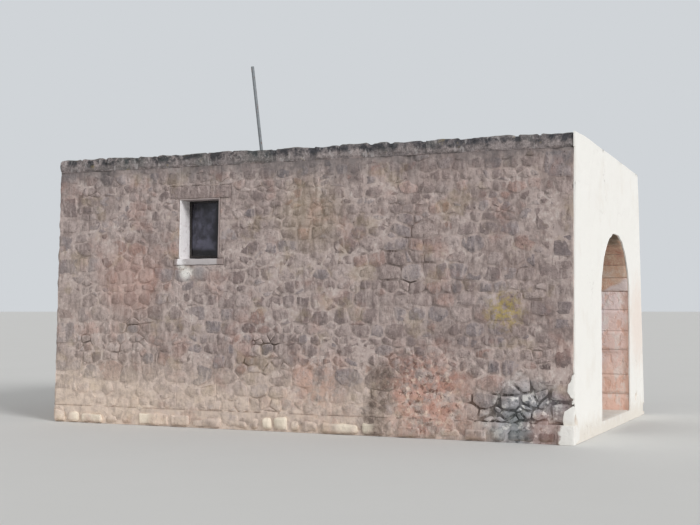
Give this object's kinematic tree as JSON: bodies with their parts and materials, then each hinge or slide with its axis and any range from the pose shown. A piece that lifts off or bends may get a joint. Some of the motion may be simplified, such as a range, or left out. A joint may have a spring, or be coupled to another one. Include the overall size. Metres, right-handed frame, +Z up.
{
  "type": "flat-roofed stone field house",
  "caption": "Single-room rubble-stone field house with a barrel vault under a flat roof, an arched doorway in a lime-plastered end wall and a small side window.",
  "frame": {"origin": "ground level at the middle of the footprint's bounding box", "axes": "+X towards the plastered end wall with the arched doorway, +Z up, the long wall with the window faces -Y"},
  "size_m": [7.36, 4.46, 4.8741],
  "materials": {
    "rubble_masonry": "rough weathered rubble limestone in lime and earth mortar",
    "window_plaster": "smoothed lime plaster, slightly soiled",
    "window_frame": "dark weathered paint",
    "window_glass": "dusty pane",
    "vault_stone": "limewashed soft limestone blocks",
    "limewashed_jamb": "limewashed dressed stone with a warm stain",
    "arch_stone": "bare dressed stone, smoke-browned",
    "lime_plaster": "matt lime plaster, slightly uneven",
    "footing_stone": "pale bare limestone, rough",
    "dark_coping": "limestone blackened by lichen",
    "paving_stone": "worn limestone flags",
    "pole_metal": "dull grey weathered paint"
  },
  "bodies": {
    "root": {"front_wall_near": "rubble_masonry", "front_wall_far": "rubble_masonry", "front_wall_below_window": "rubble_masonry", "front_wall_above_window": "rubble_masonry", "window_lintel": "rubble_masonry", "window_sill": "window_plaster", "window_reveal_plaster": "window_plaster", "window_frame": "window_frame", "window_glass": "window_glass", "window_lunette": "vault_stone", "rear_wall": "rubble_masonry", "far_end_wall": "rubble_masonry", "far_end_gable": "rubble_masonry", "arch_end_pier": "rubble_masonry", "arch_end_head": "rubble_masonry", "doorway_near_jamb": "limewashed_jamb", "doorway_far_jamb": "limewashed_jamb", "doorway_arch": "arch_stone", "doorway_threshold": "limewashed_jamb", "arch_end_plaster": "lime_plaster", "plaster_corner_return": "lime_plaster", "front_footing": "footing_stone", "rear_footing": "footing_stone", "far_end_footing": "footing_stone", "front_coping": "dark_coping", "rear_coping": "dark_coping", "far_end_coping": "dark_coping", "arch_end_coping": "lime_plaster", "vault_front_haunch": "vault_stone", "vault_rear_haunch": "vault_stone", "vault_crown": "vault_stone", "roof_fill": "rubble_masonry", "roof_paving": "paving_stone", "floor_paving": "paving_stone", "roof_pole": "pole_metal", "pole_socket": "paving_stone"}
  },
  "joints": []
}
